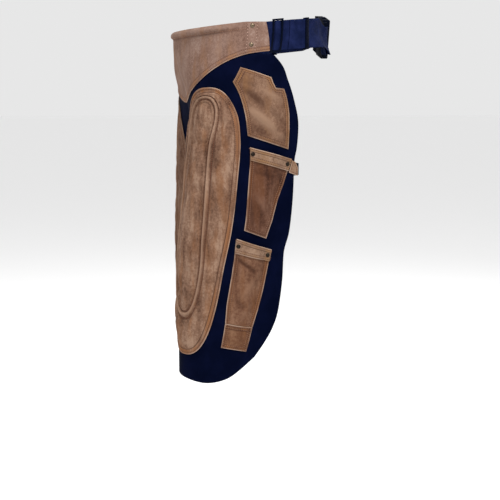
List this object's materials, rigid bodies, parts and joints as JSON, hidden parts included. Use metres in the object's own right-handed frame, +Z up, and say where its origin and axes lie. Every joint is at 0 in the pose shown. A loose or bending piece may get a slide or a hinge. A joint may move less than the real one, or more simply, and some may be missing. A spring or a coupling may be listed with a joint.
{
  "type": "farrier apron",
  "caption": "Worn split-leg leather work apron with a deep suede waistband, padded knee patches, tapered tool pockets, leg straps and a webbing belt buckled at the back.",
  "frame": {"origin": "middle of the waist ring at half the belt's height, where the wearer's waist holds the apron", "axes": "+Z up, +X to the wearer's left, -Y to the front"},
  "size_m": [0.4226, 0.3668, 0.8067],
  "materials": {
    "suede": "napped, matt, mottled with wear",
    "black_leather": "smooth black, low sheen",
    "webbing": "woven navy webbing",
    "plastic": "moulded black, satin",
    "brass": "dark antique brass"
  },
  "bodies": {
    "root": {"yoke": "suede", "buckle_socket": "plastic", "buckle_plug": "plastic", "left_panel": "black_leather", "left_knee_patch": "suede", "left_hip_patch": "suede", "left_strap_tab": "suede", "left_leg_strap": "webbing", "left_middle_pocket": "suede", "left_middle_band": "suede", "left_lower_pocket": "suede", "left_lower_band": "suede", "left_pocket_foot": "suede", "left_belt": "webbing", "left_slider": "plastic", "left_keeper": "plastic", "left_rivet_1": "brass", "left_rivet_2": "brass", "left_rivet_3": "brass", "left_rivet_4": "brass", "left_rivet_5": "brass", "left_rivet_6": "brass", "right_panel": "black_leather", "right_knee_patch": "suede", "right_hip_patch": "suede", "right_strap_tab": "suede", "right_leg_strap": "webbing", "right_middle_pocket": "suede", "right_middle_band": "suede", "right_lower_pocket": "suede", "right_lower_band": "suede", "right_pocket_foot": "suede", "right_belt": "webbing", "right_slider": "plastic", "right_keeper": "plastic", "right_rivet_1": "brass", "right_rivet_2": "brass", "right_rivet_3": "brass", "right_rivet_4": "brass", "right_rivet_5": "brass", "right_rivet_6": "brass"}
  },
  "joints": []
}
